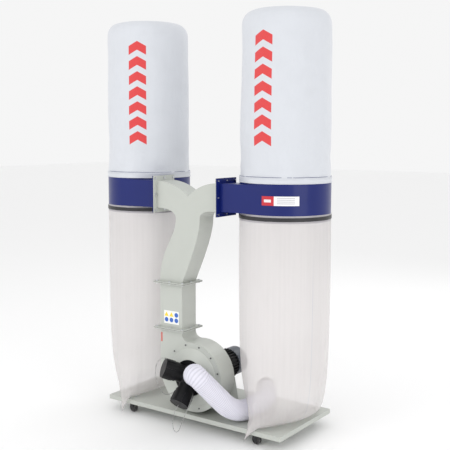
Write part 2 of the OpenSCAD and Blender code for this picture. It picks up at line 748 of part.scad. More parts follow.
// The inlet box that meets the drum's wall at a tangent
module slab_box(cx, s, c, reach) {
    start = branch_x + gasket_t / 2 - reach;
    length = abs(cx) - start;
    translate([s > 0 ? start : -start - length, front_y + c, box_low + c])
        cube([length, duct_depth - 2 * c, box_h - 2 * c]);
}

module belt(cx) color([0.08, 0.08, 0.09])
    translate([cx, drum_y, belt_z]) {
        difference() {
            cylinder(r = belt_r + belt_t, h = belt_w, $fn = 180);
            translate([0, 0, -1]) cylinder(r = belt_r, h = belt_w + 2, $fn = 180);
        }
        difference() {
            translate([14, belt_r + 1, 0]) cube([20, 13, belt_w]);
            translate([12, belt_r + 5, 4]) cube([30, 12, belt_w - 8]);
        }
        translate([24, belt_r + 10, 2]) cylinder(r = 2, h = belt_w - 4);
    }

module latch(cx) color([0.62, 0.63, 0.65])
    translate([cx + 24, drum_y + belt_r + 10, belt_z + 4.5]) difference() {
        union() {
            cylinder(r = 4, h = belt_w - 9);
            translate([-64, -2, 0]) cube([64, 4, belt_w - 9]);
            translate([-66, -3, 0]) cube([8, 6, belt_w - 9]);
        }
        translate([0, 0, -1]) cylinder(r = 2 + fit, h = belt_w);
    }

module filter_bag(cx) color([0.88, 0.88, 0.9])
    translate([cx, drum_y, 0]) {
        low = drum_top + 0.5;
        top = drum_top + filter_h;
        r0 = hem_r;
        r1 = hem_r - filter_taper;
        rotate_extrude($fn = 120) difference() {
            polygon(concat([[0, low], [r0, low]],
                [for (a = [0:15:75]) [r1 - shoulder_r * (1 - cos(a)),
                    top - 14 - shoulder_r * (1 - sin(a))]],
                [[r1 - shoulder_r, top - 12], [0, top]]));
            polygon(concat([[0, low + bag_wall], [r0 - bag_wall, low + bag_wall]],
                [for (a = [0:15:75]) [r1 - bag_wall - (shoulder_r - bag_wall) * (1 - cos(a)),
                    top - 14 - bag_wall - (shoulder_r - bag_wall) * (1 - sin(a))]],
                [[r1 - shoulder_r, top - 13 - bag_wall], [0, top - 1 - bag_wall]]));
        }
        translate([0, 0, drum_top - hem_h])
            tube(hem_r, drum_r + skin, hem_h + 1);
    }

// One ring of the collection bag: a circle above that flattens to a seam along Y below
bag_top = drum_low - 0.5;
bag_steps = 15;
bag_sides = 32;
function bag_share(z) = pow(1 - min(1, (z - seam_z) / flatten_h), 2);
function bag_z(i) = bag_top - (bag_top - seam_z) * pow(i / bag_steps, 1 / 1.35);
function bag_half(z) = (collar_r + 4 * sin(180 * (z - seam_z) / (bag_top - seam_z)))
    * sqrt(max(0, 1 - bag_share(z)));
function bag_ring(z, lean, inset) = let (q = bag_share(z), a = max(5, bag_half(z)) - inset,
    b = drum_r + 1 + (seam_half - drum_r) * q - inset)
    [for (k = [0:bag_sides - 1]) let (w = k * 360 / bag_sides)
        [lean * q + a * cos(w), b * sin(w), z]];
// The rings from the mouth down; the inner form starts lower and stops a ring short
function bag_points(lean, inset, rows) = [for (i = [0:rows - 1])
    each bag_ring(i == 0 ? bag_top - inset : bag_z(i), lean, inset)];

module bag_form(lean, inset, rows)
    polyhedron(bag_points(lean, inset, rows), concat([count_down(0, bag_sides)],
        wall(rows, bag_sides, 0, true),
        [count_up((rows - 1) * bag_sides, bag_sides)]));

module collection_bag(cx, lean) color([0.93, 0.91, 0.91, 0.6])
    translate([cx, drum_y, 0]) {
        difference() {
            bag_form(lean, 0, bag_steps + 1);
            bag_form(lean, bag_wall, bag_steps);
        }
        translate([0, 0, bag_top - 1]) tube(collar_r, drum_r + skin, collar_h + 1.5);
    }

/* ---- plates and labels ---- */

module nameplate() color([0.85, 0.85, 0.85])
    intersection() {
        translate([right_x, drum_y, drum_low + 94])
            difference() {
                cylinder(r = drum_r + 1.2, h = 49, $fn = 180);
                translate([0, 0, -1]) cylinder(r = drum_r, h = 51, $fn = 180);
            }
        slab_wedge();
    }

// Only the arc of the right drum that carries the plate
module slab_wedge()
    translate([right_x, drum_y, drum_low]) linear_extrude(height = 200)
        polygon([[0, 0], for (a = [-88:11.5:-42]) 2 * drum_r * [cos(a), sin(a)]]);

module safety_label() color([0.95, 0.95, 0.9])
    translate([neck_left + 27.5, front_y - 0.4, neck_top + 28]) cube([108, 0.4, 76]);

module neck_label() color([0.85, 0.4, 0.4])
    translate([neck_left + 2.5, front_y - 0.4, neck_top - 85]) cube([12, 0.4, 55]);

base_tray();
caster_plates();
base_bolts();
caster_fork(0);  // caster_fork_fl
caster_fork(1);  // caster_fork_fr
caster_fork(2);  // caster_fork_rl
caster_fork(3);  // caster_fork_rr
caster_wheel(0);  // caster_wheel_fl
caster_wheel(1);  // caster_wheel_fr
caster_wheel(2);  // caster_wheel_rl
caster_wheel(3);  // caster_wheel_rr
motor_stand();
stand_bolts();
blower_housing();
inlet_cover();
cover_screws();
inlet_manifold();
port_cap(150);  // port_cap_left
port_cap(270);  // port_cap_lower
cap_tether_left();
cap_tether_lower();
hose_clamp();
hose();
hose_cuff();
impeller();
impeller_bolt();
motor_frame();
motor_front_shield();
motor_rear_shield();
stator_core();
rotor_core();
motor_shaft();
bearing_front();
bearing_rear();
cooling_fan();
fan_cowl();
motor_bolts();
terminal_box();
cable_gland();
switch_box();
start_button();
stop_button();
riser_duct();
splitter();
duct_gaskets();
flange_bolts();
drum(left_x, -1);  // drum_left
drum(right_x, 1);  // drum_right
belt(left_x);  // belt_left
belt(right_x);  // belt_right
latch(left_x);  // latch_left
latch(right_x);  // latch_right
filter_bag(left_x);  // filter_bag_left
filter_bag(right_x);  // filter_bag_right
collection_bag(left_x, seam_lean[0]);  // collection_bag_left
collection_bag(right_x, seam_lean[1]);  // collection_bag_right
nameplate();
safety_label();
neck_label();
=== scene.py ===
import json
import math

import bmesh
import bpy
from mathutils import Euler, Matrix, Vector, noise


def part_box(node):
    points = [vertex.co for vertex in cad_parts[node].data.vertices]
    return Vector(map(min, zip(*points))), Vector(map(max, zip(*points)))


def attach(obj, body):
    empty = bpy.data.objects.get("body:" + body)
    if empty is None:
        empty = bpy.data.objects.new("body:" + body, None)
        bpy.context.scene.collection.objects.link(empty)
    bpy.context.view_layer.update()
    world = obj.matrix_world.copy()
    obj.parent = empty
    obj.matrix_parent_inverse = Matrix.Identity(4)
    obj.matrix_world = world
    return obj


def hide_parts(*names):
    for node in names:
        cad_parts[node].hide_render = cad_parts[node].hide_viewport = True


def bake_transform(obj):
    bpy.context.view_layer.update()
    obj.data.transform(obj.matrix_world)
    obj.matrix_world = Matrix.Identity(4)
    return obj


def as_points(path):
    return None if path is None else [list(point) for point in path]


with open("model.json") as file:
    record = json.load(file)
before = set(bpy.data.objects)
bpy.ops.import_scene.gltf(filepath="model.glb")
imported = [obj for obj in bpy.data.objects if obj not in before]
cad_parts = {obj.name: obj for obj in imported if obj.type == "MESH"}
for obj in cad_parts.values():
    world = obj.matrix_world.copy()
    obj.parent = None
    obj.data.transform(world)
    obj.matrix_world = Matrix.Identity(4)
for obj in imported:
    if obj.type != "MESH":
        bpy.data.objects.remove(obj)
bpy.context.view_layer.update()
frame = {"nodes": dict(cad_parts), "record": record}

bl_info = {
    "name": "Twin-bag dust collector",
    "version": (1, 0, 0),
    "blender": (4, 5, 0),
    "location": "View3D > Sidebar > Collector",
    "description": "Bags, hose, finishes and stage of a twin-bag dust collector",
    "category": "Object",
}

MM = 0.001
SIDES = ("left", "right")
# Angle about each drum's axis that the printed arrows face
MARK_TURN = {"left": math.radians(-65), "right": math.radians(-89)}
# Each bottom seam's X from its drum's axis: at the axis, for each metre back, and its bow
SEAM_LINE = {"left": (0.02, -0.12, 0.0), "right": (0.065, 0.135, -0.6)}
# Share of its overhang that each corner is drawn back towards the tray, and that it drops
TAIL_PULL = {"left": 0.35, "right": 0.78}
REAR_PULL = 0.78
TAIL_DROP = 0.74
# Collection bag: radius in its belt, rise of its seam over the tray, and the heights over
# which it flattens and its corners fold down
FILM_RADIUS = 0.2511
SEAM_RISE = 0.006
FLATTEN_HEIGHT = 0.45
HANG_HEIGHT = 0.25
# Filter bag: hem height, taper from hem to shoulder and radius of the soft shoulder
HEM_HEIGHT = 0.036
FILTER_TAPER = 0.009
SHOULDER_RADIUS = 0.070
# Hose: radius over its ribs, and its cuff's bore radius and length
HOSE_CREST = 0.0584
CUFF_BORE = 0.0505
CUFF_LENGTH = 0.060
# Route points in millimetres, with Y from the drum line
HOSE_ROUTE = [
    (110, -333, 345), (128, -353, 355), (146, -374, 365), (166, -396, 374), (190, -412, 373),
    (213, -412, 358), (233, -394, 330), (252, -376, 302), (271, -356, 272), (289, -333, 241),
    (301, -308, 212), (311, -278, 187), (321, -243, 167), (332, -204, 153), (340, -160, 147),
    (345, -110, 146), (345, -50, 146), (342, -4, 146), (333, 40, 146), (319, 83, 146),
    (301, 123, 146), (279, 160, 146), (258, 189, 146), (240, 213, 146),
]
TETHER_ROUTES = {
    "left": [
        (-62, -364, 421), (-74, -385, 424), (-88, -402, 408), (-98, -410, 380), (-102, -412, 350),
        (-99, -408, 310), (-90, -400, 270), (-80, -388, 236), (-66, -372, 214), (-50, -352, 212),
        (-34, -328, 224), (-14, -312, 241),
    ],
    "lower": [
        (38, -378, 175), (37, -388, 166), (32, -400, 150), (25, -408, 120), (21, -411, 90),
        (22, -411, 60), (30, -411, 36), (44, -410, 28), (60, -408, 38), (74, -405, 70),
        (86, -398, 110), (98, -384, 150), (104, -362, 190), (102, -338, 222), (90, -318, 238),
    ],
}


def metres(route):
    line = Vector((0, drum_centre("left").y, 0))
    return [Vector(p) * MM + line for p in route]


def middle(node):
    low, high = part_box(node)
    return (low + high) / 2


def drum_centre(side):
    """The drum's axis, taken from the filter bag that stands on it."""
    c = middle("filter_bag_" + side)
    return Vector((c.x, c.y, 0))


# ---- finishes ----


class Value:
    """A number that varies over a surface, used in plain sums."""

    def __init__(self, finish, socket):
        self.finish, self.socket = finish, socket

    def maths(self, operation, *values, clamp=False):
        inputs = dict(enumerate(v.socket if isinstance(v, Value) else v for v in values))
        return self.finish.node(
            "ShaderNodeMath", {"operation": operation, "use_clamp": clamp}, inputs
        )

    def __add__(self, other):
        return self.maths("ADD", self, other)

    def __sub__(self, other):
        return self.maths("SUBTRACT", self, other)

    def __mul__(self, other):
        return self.maths("MULTIPLY", self, other)

    def __truediv__(self, other):
        return self.maths("DIVIDE", self, other)

    def __rsub__(self, other):
        return self.maths("SUBTRACT", other, self)

    __radd__ = __add__
    __rmul__ = __mul__

    def below(self, edge, soft):
        """1 where the value is under the edge, 0 over it, with a soft change between."""
        return self.maths("MULTIPLY_ADD", self, -1 / soft, edge / soft + 0.5, clamp=True)

    def above(self, edge, soft):
        return self.maths("MULTIPLY_ADD", self, 1 / soft, 0.5 - edge / soft, clamp=True)

    def band(self, low, high, soft):
        return self.above(low, soft) * self.below(high, soft)

    def size(self):
        return self.maths("ABSOLUTE", self)

    def wave(self):
        return self.maths("SINE", self)

    def wrap(self, step):
        """The distance into each of the equal steps that the value is cut into."""
        return self.maths("FLOORED_MODULO", self, step)


class Finish:
    """A procedural material under construction."""

    def __init__(self, name, colour, roughness, metallic=0.0, **uniform):
        self.material = bpy.data.materials.new(name)
        self.material.use_nodes = True
        self.tree = self.material.node_tree
        self.tree.nodes.clear()
        self.skin = self.tree.nodes.new("ShaderNodeBsdfPrincipled")
        out = self.tree.nodes.new("ShaderNodeOutputMaterial")
        self.tree.links.new(self.skin.outputs[0], out.inputs["Surface"])
        self.set("Base Color", (*colour, 1))
        self.set("Roughness", roughness)
        self.set("Metallic", metallic)
        for key, value in uniform.items():
            self.set(key.replace("_", " ").title().replace("Ior", "IOR"), value)
        self.places = {}
        self.material.diffuse_color = (*colour, 1)

    def set(self, name, value):
        socket = self.skin.inputs[name]
        if isinstance(value, Value):
            self.tree.links.new(value.socket, socket)
        else:
            socket.default_value = value

    def node(self, kind, settings, inputs, output=0):
        """Any node: its settings first, then the values or links of its sockets."""
        node = self.tree.nodes.new(kind)
        for key, value in settings.items():
            setattr(node, key, value)
        for key, value in inputs.items():
            value = value.socket if isinstance(value, Value) else value
            if isinstance(value, bpy.types.NodeSocket):
                self.tree.links.new(value, node.inputs[key])
            else:
                node.inputs[key].default_value = value
        return Value(self, node.outputs[output])

    def place(self, scale=(1, 1, 1), centre=(0, 0, 0), turn=(0, 0, 0)):
        """Object coordinates, centred, turned and scaled for this finish."""
        key = (tuple(scale), tuple(centre), tuple(turn))
        if key not in self.places:
            at = self.node("ShaderNodeTexCoord", {}, {}, "Object")
            if key != ((1, 1, 1), (0, 0, 0), (0, 0, 0)):
                at = self.node(
                    "ShaderNodeMapping",
                    {"vector_type": "TEXTURE"},
                    {
                        "Vector": at,
                        "Location": centre,
                        "Rotation": turn,
                        "Scale": [1 / s for s in scale],
                    },
                )
            self.places[key] = at
        return self.places[key]

    def axes(self, **where):
        """The three coordinates as separate values."""
        at = self.place(**where)
        return [self.node("ShaderNodeSeparateXYZ", {}, {0: at}, i) for i in range(3)]

    def speckle(self, clouds, detail=3.0, **where):
        """Cloudy variation from 0 to 1 with the given number of clouds to a metre."""
        return self.node(
            "ShaderNodeTexNoise",
            {},
            {"Vector": self.place(**where), "Scale": clouds, "Detail": detail},
        )

    def mix(self, mask, first, second):
        """A colour between two others."""
        wrap = lambda c: c if isinstance(c, Value) else (*c, 1)
        return self.node(
            "ShaderNodeMix",
            {"data_type": "RGBA"},
            {"Factor": mask, 6: wrap(first), 7: wrap(second)},
            2,
        )

    def bump(self, height, depth, below=None):
        """Relief of the given depth in metres, over an earlier one if there is any."""
        inputs = {"Height": height, "Distance": depth, "Strength": 1.0}
        if below is not None:
            inputs["Normal"] = below
        normal = self.node("ShaderNodeBump", {}, inputs)
        self.set("Normal", normal)
        return normal


def painted(name, colour, roughness=0.42, coat=0.12):
    """Sprayed enamel on sheet steel: fine orange peel, faint clouding, dust in it."""
    f = Finish(name, colour, roughness, coat_weight=coat, coat_roughness=0.2)
    cloud = f.speckle(5, 4)
    dull = tuple(c * 0.93 for c in colour)
    f.set("Base Color", f.mix(cloud.band(0.3, 0.75, 0.5), dull, colour))
    f.set("Roughness", f.speckle(28, 5) * 0.16 + (roughness - 0.08))
    peel = f.bump(f.speckle(420, 2), 0.00012)
    f.bump(f.speckle(9, 2), 0.0009, peel)
    return f.material


def gloss_blue(name, colour):
    """Glossy drum enamel over rolled sheet, with a faint roller banding."""
    f = Finish(
        name, colour, 0.3, specular_ior_level=0.3, coat_weight=0.15, coat_roughness=0.1
    )
    height = f.axes()[2]
    deep = tuple(c * 0.82 for c in colour)
    f.set("Base Color", f.mix(f.speckle(4, 4), deep, colour))
    f.set("Roughness", f.speckle(34, 5) * 0.14 + 0.24)
    peel = f.bump(f.speckle(300, 2), 0.00010)
    f.bump((height * 42 + f.speckle(3, 2) * 1.4).wave(), 0.00022, peel)
    return f.material


def metal(name, colour, roughness, brushed=120.0, wear=0.25):
    """Plated or bare steel with short rolling marks and dulled patches."""
    f = Finish(name, colour, roughness, metallic=1.0)
    streak = f.speckle(brushed, 4, scale=(1, 1, 0.06))
    patch = f.speckle(40, 5)
    f.set("Base Color", f.mix(patch.above(0.6, 0.4), colour, tuple(c * 0.72 for c in colour)))
    f.set("Roughness", streak * wear + patch * 0.1 + (roughness - wear / 2))
    f.bump(streak, 0.00003)
    return f.material


def moulded(name, colour, roughness=0.45, texture=0.0001, wave=900, gloss=0.5):
    """Moulded plastic or cast paint with a fine spark-eroded texture and rubbed spots."""
    f = Finish(name, colour, roughness, specular_ior_level=gloss)
    pale = tuple(min(1, c * 1.3 + 0.004) for c in colour)
    rubbed = f.speckle(26, 6).above(0.62, 0.2)
    f.set("Base Color", f.mix(rubbed, colour, pale))
    f.set("Roughness", f.speckle(60, 4) * 0.2 + (roughness - 0.1) - rubbed * 0.06)
    fine = f.bump(f.speckle(wave, 2), texture)
    f.bump(f.speckle(35, 2), 0.0004, fine)
    return f.material


def rubber(name, colour):
    """Dull rubber, a little dusty."""
    f = Finish(name, colour, 0.8)
    dust = f.speckle(70, 6).above(0.58, 0.25)
    f.set("Base Color", f.mix(dust, colour, (0.16, 0.155, 0.15)))
    f.set("Roughness", dust * 0.12 + 0.74)
    f.bump(f.speckle(700, 3), 0.00015)
    return f.material


def felt(name, colour, side):
    """Needled filter felt: short matted fibres and a print."""
    f = Finish(name, colour, 0.92, sheen_weight=0.25, sheen_roughness=0.5)
    x, y, z = f.axes(centre=tuple(drum_centre(side)), turn=(0, 0, MARK_TURN[side]))
    matted = f.speckle(260, 6)
    cloud = f.speckle(7, 3)
    base = f.mix(
        cloud.band(0.25, 0.8, 0.5) * 0.7 + matted * 0.3,
        tuple(c * 0.92 for c in colour),
        colour,
    )
    # Rising arrows printed up the front
    radius, step, thick, half_width = 0.25, 0.086, 0.05, 0.052
    first, last = 1.64, 2.24
    across = y.maths("ARCSINE", y / radius) * radius
    rise = z + across.size() * 0.55
    stripes = (rise - first).wrap(step).below(thick, 0.002)
    mark = stripes * across.size().below(half_width, 0.002) * rise.band(first, last, 0.004)
    mark = mark * x.above(0, 0.01)
    ink = f.mix(matted, (0.62, 0.03, 0.035), (0.74, 0.07, 0.07))
    f.set("Base Color", f.mix(mark, base, ink))
    f.set("Roughness", matted * 0.1 + 0.86 - mark * 0.2)
    fibres = f.bump(matted, 0.0006)
    coarse = f.bump(f.speckle(90, 4), 0.0007, fibres)
    f.bump(f.speckle(14, 3, scale=(1, 1, 0.45)), 0.004, coarse)
    return f.material


def film(name, colour):
    """Milky polyethylene film with faint drawing lines and crinkles, and painted shade along one
    crease.
    """
    f = Finish(name, colour, 0.32)
    soft = f.speckle(3.2, 3, scale=(1, 1, 0.5))
    lines = f.speckle(60, 3, scale=(1, 1, 0.02))
    x, y, z = f.axes(centre=tuple(drum_centre("right")))
    # Painted shade: a blue-grey band along a lay-flat crease on the front of the right bag,
    # fading out higher up.
    crease_shade = y.maths("ARCTAN2", y, x).band(-0.405, -0.383, 0.012) * z.below(0.95, 0.3)
    milky = f.mix(soft, tuple(c * 0.965 for c in colour), colour)
    f.set("Base Color", f.mix(crease_shade * 0.3, milky, (0.42, 0.5, 0.62)))
    f.set("Alpha", soft * 0.12 + lines * 0.06 + 0.46 - z.below(0.22, 0.12) * 0.1)
    f.set("Roughness", lines * 0.12 + 0.26)
    crinkle = f.bump(f.speckle(9, 4, scale=(1, 1, 0.35)), 0.006)
    f.bump(lines, 0.0004, crinkle)
    return f.material


def ribbed(name, colour):
    """Soft hose wall with painted shade between the ribs, patchy along the hose."""
    f = Finish(name, colour, 0.48, subsurface_weight=0.06, subsurface_radius=(0.01, 0.01, 0.012))
    depth = f.node("ShaderNodeAttribute", {"attribute_name": "rib"}, {}, 2)
    # Painted shade: darker colour in the grooves between the ribs, patchy along the hose; the
    # grooves are also rougher.
    groove_shade = (1 - depth) * (f.speckle(30, 4) * 0.5 + 0.5)
    f.set("Base Color", f.mix(groove_shade, colour, tuple(c * 0.66 for c in colour)))
    f.set("Roughness", groove_shade * 0.25 + 0.4)
    f.bump(f.speckle(240, 3), 0.0002)
    return f.material


def twisted_wire(name, colour):
    """Bright strand wire with tarnish."""
    f = Finish(name, colour, 0.32, metallic=1.0)
    tarnish = f.speckle(90, 5)
    f.set("Base Color", f.mix(tarnish.above(0.55, 0.3), colour, (0.25, 0.24, 0.23)))
    f.set("Roughness", tarnish * 0.3 + 0.2)
    return f.material


def plate(name):
    """Printed rating plate: a red end and a white field with plain grey rules."""
    f = Finish(name, (0.85, 0.85, 0.86), 0.3, coat_weight=0.3, coat_roughness=0.1)
    low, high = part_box("nameplate")
    c = drum_centre("right")
    x, y, z = f.axes(centre=(c.x, c.y, low.z))
    angle = y.maths("ARCTAN2", y, x)
    tall = high.z - low.z
    field = angle.above(math.radians(-72.5), 0.004)
    rules = z.wrap(tall / 5).below(tall * 0.06, 0.0006) * angle.band(-1.2, -0.82, 0.004)
    rules = rules * z.band(tall * 0.15, tall * 0.85, 0.001)
    printed = f.mix(rules, (0.86, 0.86, 0.87), (0.3, 0.3, 0.32))
    box = angle.band(math.radians(-85), math.radians(-76), 0.003) * z.band(
        tall * 0.35, tall * 0.65, 0.001
    )
    red = f.mix(box, (0.55, 0.015, 0.03), (0.8, 0.75, 0.75))
    f.set("Base Color", f.mix(field, red, printed))
    f.set("Roughness", f.speckle(80, 4) * 0.2 + 0.22)
    f.bump(f.speckle(12, 2), 0.0003)
    return f.material


def sticker(name):
    """Plain reminder sticker: two yellow shapes and a blue disc over three blue discs."""
    f = Finish(name, (0.87, 0.88, 0.84), 0.35, coat_weight=0.2)
    low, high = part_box("safety_label")
    x, y, z = f.axes(centre=(low.x, low.y, low.z))
    wide, tall = high.x - low.x, high.z - low.z
    u = x.wrap(wide / 3) - wide / 6
    upper = z - tall * 0.66
    yellow = (u.size() + upper * 0.6).below(wide * 0.105, 0.001)
    yellow = yellow * upper.above(-tall * 0.1, 0.001) * x.below(wide * 0.66, 0.001)
    lower_disc = z - tall * 0.3
    upper_disc = z - tall * 0.72
    round_spot = lambda v: (u * u + v * v).below((wide * 0.125) ** 2, 0.00002)
    disc = round_spot(lower_disc) + round_spot(upper_disc) * x.above(wide * 0.67, 0.001)
    paper = f.mix(disc, (0.87, 0.88, 0.85), (0.03, 0.13, 0.52))
    f.set("Base Color", f.mix(yellow, paper, (0.92, 0.68, 0.03)))
    f.set("Roughness", f.speckle(50, 4) * 0.2 + 0.25)
    f.bump(f.speckle(20, 2), 0.0002)
    return f.material


FINISHES = {}


def finish(name):
    """Each finish is made once, when a piece first asks for it."""
    colours = bpy.context.scene.collector_colours
    makers = {
        "painted_grey": lambda n: painted(n, tuple(colours.housing)),
        "painted_blue": lambda n: gloss_blue(n, tuple(colours.drum)),
        "black_steel": lambda n: moulded(n, (0.018, 0.018, 0.02), 0.42, 0.0001, 500),
        "zinc": lambda n: metal(n, (0.68, 0.69, 0.72), 0.34),
        "dark_screw": lambda n: metal(n, (0.16, 0.16, 0.165), 0.42),
        "black_plastic": lambda n: moulded(n, (0.006, 0.006, 0.007), 0.42, 0.00012, gloss=0.2),
        "wire": lambda n: twisted_wire(n, (0.5, 0.5, 0.5)),
        "hose_plastic": lambda n: ribbed(n, tuple(colours.hose)),
        "raw_steel": lambda n: metal(n, (0.52, 0.52, 0.53), 0.36),
        "motor_black": lambda n: moulded(n, (0.008, 0.008, 0.009), 0.5, 0.00025, 380, gloss=0.25),
        "fan_plastic": lambda n: moulded(n, (0.05, 0.05, 0.055), 0.5),
        "cowl_grey": lambda n: painted(n, (0.05, 0.062, 0.085), 0.4),
        "switch_plastic": lambda n: moulded(n, (0.055, 0.055, 0.06), 0.5),
        "green_plastic": lambda n: moulded(n, (0.02, 0.24, 0.05), 0.35),
        "red_plastic": lambda n: moulded(n, (0.5, 0.015, 0.015), 0.35),
        "gasket_rubber": lambda n: rubber(n, (0.02, 0.02, 0.02)),
        "label_white": plate,
        "safety_sticker": sticker,
        "label_red": lambda n: painted(n, (0.6, 0.16, 0.14), 0.45),
        "wheel_rubber": lambda n: rubber(n, (0.016, 0.016, 0.017)),
        "film": lambda n: film(n, tuple(colours.film)),
        "felt_left": lambda n: felt(n, tuple(colours.felt), "left"),
        "felt_right": lambda n: felt(n, tuple(colours.felt), "right"),
        "thread": lambda n: moulded(n, (0.62, 0.63, 0.66), 0.8, 0.0001, 2500),
        "webbing": lambda n: rubber(n, (0.012, 0.012, 0.013)),
    }
    if name not in FINISHES:
        FINISHES[name] = makers[name](name)
    return FINISHES[name]


# ---- mesh work ----


def start_clean():
    """Object mode with nothing selected, so the next tool acts on its own piece only."""
    if bpy.context.object and bpy.context.object.mode != "OBJECT":
        bpy.ops.object.mode_set(mode="OBJECT")
    bpy.ops.object.select_all(action="DESELECT")


def pick(piece):
    start_clean()
    piece.select_set(True)
    bpy.context.view_layer.objects.active = piece


def mesh_piece(name, points, faces):
    """A new smooth-shaded piece from its points and faces, in place."""
    mesh = bpy.data.meshes.new(name)
    mesh.from_pydata([tuple(p) for p in points], [], faces)
    mesh.update()
    piece = bpy.data.objects.new(name, mesh)
    bpy.context.scene.collection.objects.link(piece)
    mesh.shade_smooth()
    return piece


def settle_place(piece):
    """Moves a piece's place, turn and size into its mesh."""
    pick(piece)
    bpy.ops.object.transform_apply(location=True, rotation=True, scale=True)


def outward(piece):
    """Merges doubles and turns every face outwards."""
    pick(piece)
    bpy.ops.object.mode_set(mode="EDIT")
    bpy.ops.mesh.select_all(action="SELECT")
    bpy.ops.mesh.remove_doubles(threshold=1e-6)
    bpy.ops.mesh.normals_make_consistent(inside=False)
    bpy.ops.object.mode_set(mode="OBJECT")


def dress(piece, surface, body, slot, *replaced):
    """Gives a finished piece its material and its body, and hides the CAD parts it replaces."""
    piece.data.materials.clear()
    piece.data.materials.append(finish(surface))
    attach(piece, body)
    if replaced:
        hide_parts(*replaced)
    return piece


def smooth_route(points, step):
    """Points at even steps along one smooth curve through the route's points."""
    dense = []
    for i in range(len(points) - 1):
        a, b = points[i], points[i + 1]
        before = points[i - 1] if i else a * 2 - b
        after = points[i + 2] if i + 2 < len(points) else b * 2 - a
        for k in range(12):
            t = k / 12
            dense.append(
                0.5
                * (
                    2 * a
                    + (b - before) * t
                    + (2 * before - 5 * a + 4 * b - after) * t * t
                    + (3 * a - before - 3 * b + after) * t**3
                )
            )
    dense.append(points[-1])
    lengths = [0.0]
    for p, q in zip(dense, dense[1:]):
        lengths.append(lengths[-1] + (q - p).length)
    count = max(2, round(lengths[-1] / step))
    evenly, k = [], 0
    for i in range(count + 1):
        s = lengths[-1] * i / count
        while k < len(dense) - 2 and lengths[k + 1] < s:
            k += 1
        t = (s - lengths[k]) / max(1e-9, lengths[k + 1] - lengths[k])
        evenly.append(dense[k].lerp(dense[k + 1], min(1, t)))
    return evenly, lengths[-1]


def frames_along(path):
    """A side and an up direction at each point, carried along without twist."""
    found, side = [], None
    for i, p in enumerate(path):
        ahead = (path[min(i + 1, len(path) - 1)] - path[max(i - 1, 0)]).normalized()
        side = side or ahead.orthogonal()
        side = (side - ahead * side.dot(ahead)).normalized()
        found.append((side, ahead.cross(side)))
    return found


def sleeve(path, around, radius, offset=None):
    """A tube along a path, shaped by radius(i, k) and offset(i, side, up); its ends stay open."""
    points, faces = [], []
    for i, (p, (side, up)) in enumerate(zip(path, frames_along(path))):
        centre = p + (offset(i, side, up) if offset else Vector())
        for k in range(around):
            w = 2 * math.pi * k / around
            points.append(centre + (side * math.cos(w) + up * math.sin(w)) * radius(i, k))
    for i in range(len(path) - 1):
        for k in range(around):
            a, b = i * around + k, i * around + (k + 1) % around
            faces.append((a, b, b + around, a + around))
    return points, faces


def drape(piece, held, frames, pressure, weight, stiffness, reach, obstacles=()):
    """Lets the cloth settle, keeps the result and limits how far any point may go."""
    before = [v.co.copy() for v in piece.data.vertices]
    modifier = piece.modifiers.new("Drape", "CLOTH")
    cloth = modifier.settings
    cloth.quality = 5
    cloth.mass = 0.2
    cloth.tension_stiffness = cloth.compression_stiffness = stiffness
    cloth.shear_stiffness = stiffness / 2
    cloth.bending_stiffness = 0.4
    cloth.air_damping = 4
    cloth.use_pressure = True
    cloth.uniform_pressure_force = pressure
    cloth.vertex_group_mass = held
    cloth.effector_weights.gravity = weight
    modifier.collision_settings.use_collision = bool(obstacles)
    modifier.collision_settings.distance_min = 0.003
    modifier.collision_settings.use_self_collision = False
    modifier.point_cache.frame_end = frames
    for f in range(1, frames + 1):
        bpy.context.scene.frame_set(f)
    pick(piece)
    bpy.ops.object.modifier_apply(modifier="Drape")
    bpy.context.scene.frame_set(1)
    for v, start in zip(piece.data.vertices, before):
        move = v.co - start
        limit = reach(start)
        if move.length > limit:
            v.co = start + move * (limit / move.length)
    piece.data.update()


def soften(piece, passes, factor=0.5):
    """Evens out small spikes left by the drape."""
    modifier = piece.modifiers.new("Even", "SMOOTH")
    modifier.iterations, modifier.factor = passes, factor
    pick(piece)
    bpy.ops.object.modifier_apply(modifier="Even")


# ---- properties ----


class CollectorColours(bpy.types.PropertyGroup):
    """Colours of the collector's main finishes."""

    housing: bpy.props.FloatVectorProperty(
        name="Housing", description="Enamel of blower, ducts and tray",
        default=(0.515, 0.535, 0.495), size=3, subtype="COLOR", min=0, max=1,
    )
    drum: bpy.props.FloatVectorProperty(
        name="Drums", description="Enamel of the two drums",
        default=(0.005, 0.014, 0.145), size=3, subtype="COLOR", min=0, max=1,
    )
    felt: bpy.props.FloatVectorProperty(
        name="Filter felt", description="Colour of the filter bags",
        default=(0.65, 0.67, 0.71), size=3, subtype="COLOR", min=0, max=1,
    )
    film: bpy.props.FloatVectorProperty(
        name="Film", description="Colour of the collection bags",
        default=(0.76, 0.725, 0.72), size=3, subtype="COLOR", min=0, max=1,
    )
    hose: bpy.props.FloatVectorProperty(
        name="Hose", description="Colour of the flexible hose",
        default=(0.78, 0.77, 0.86), size=3, subtype="COLOR", min=0, max=1,
    )


class CollectorSizes(bpy.types.PropertyGroup):
    """Sizes of the soft pieces."""

    crown: bpy.props.FloatProperty(
        name="Filter crown", description="Rise of the filter bag's top over its shoulder",
        default=0.014, min=0, max=0.04, unit="LENGTH",
    )
    rib_pitch: bpy.props.FloatProperty(
        name="Rib pitch", description="Distance between the hose's ribs",
        default=0.0093, min=0.006, max=0.02, unit="LENGTH",
    )
    rib_depth: bpy.props.FloatProperty(
        name="Rib depth", description="Height of the hose's ribs over its wall",
        default=0.0032, min=0.001, max=0.005, unit="LENGTH",
    )
    stitch: bpy.props.FloatProperty(
        name="Stitch length", description="Length of a stitch in the filter bag's hem",
        default=0.007, min=0.004, max=0.012, unit="LENGTH",
    )
    settle_frames: bpy.props.IntProperty(
        name="Settling frames", description="Frames for which the bags settle",
        default=26, min=5, max=60,
    )


# ---- operators ----


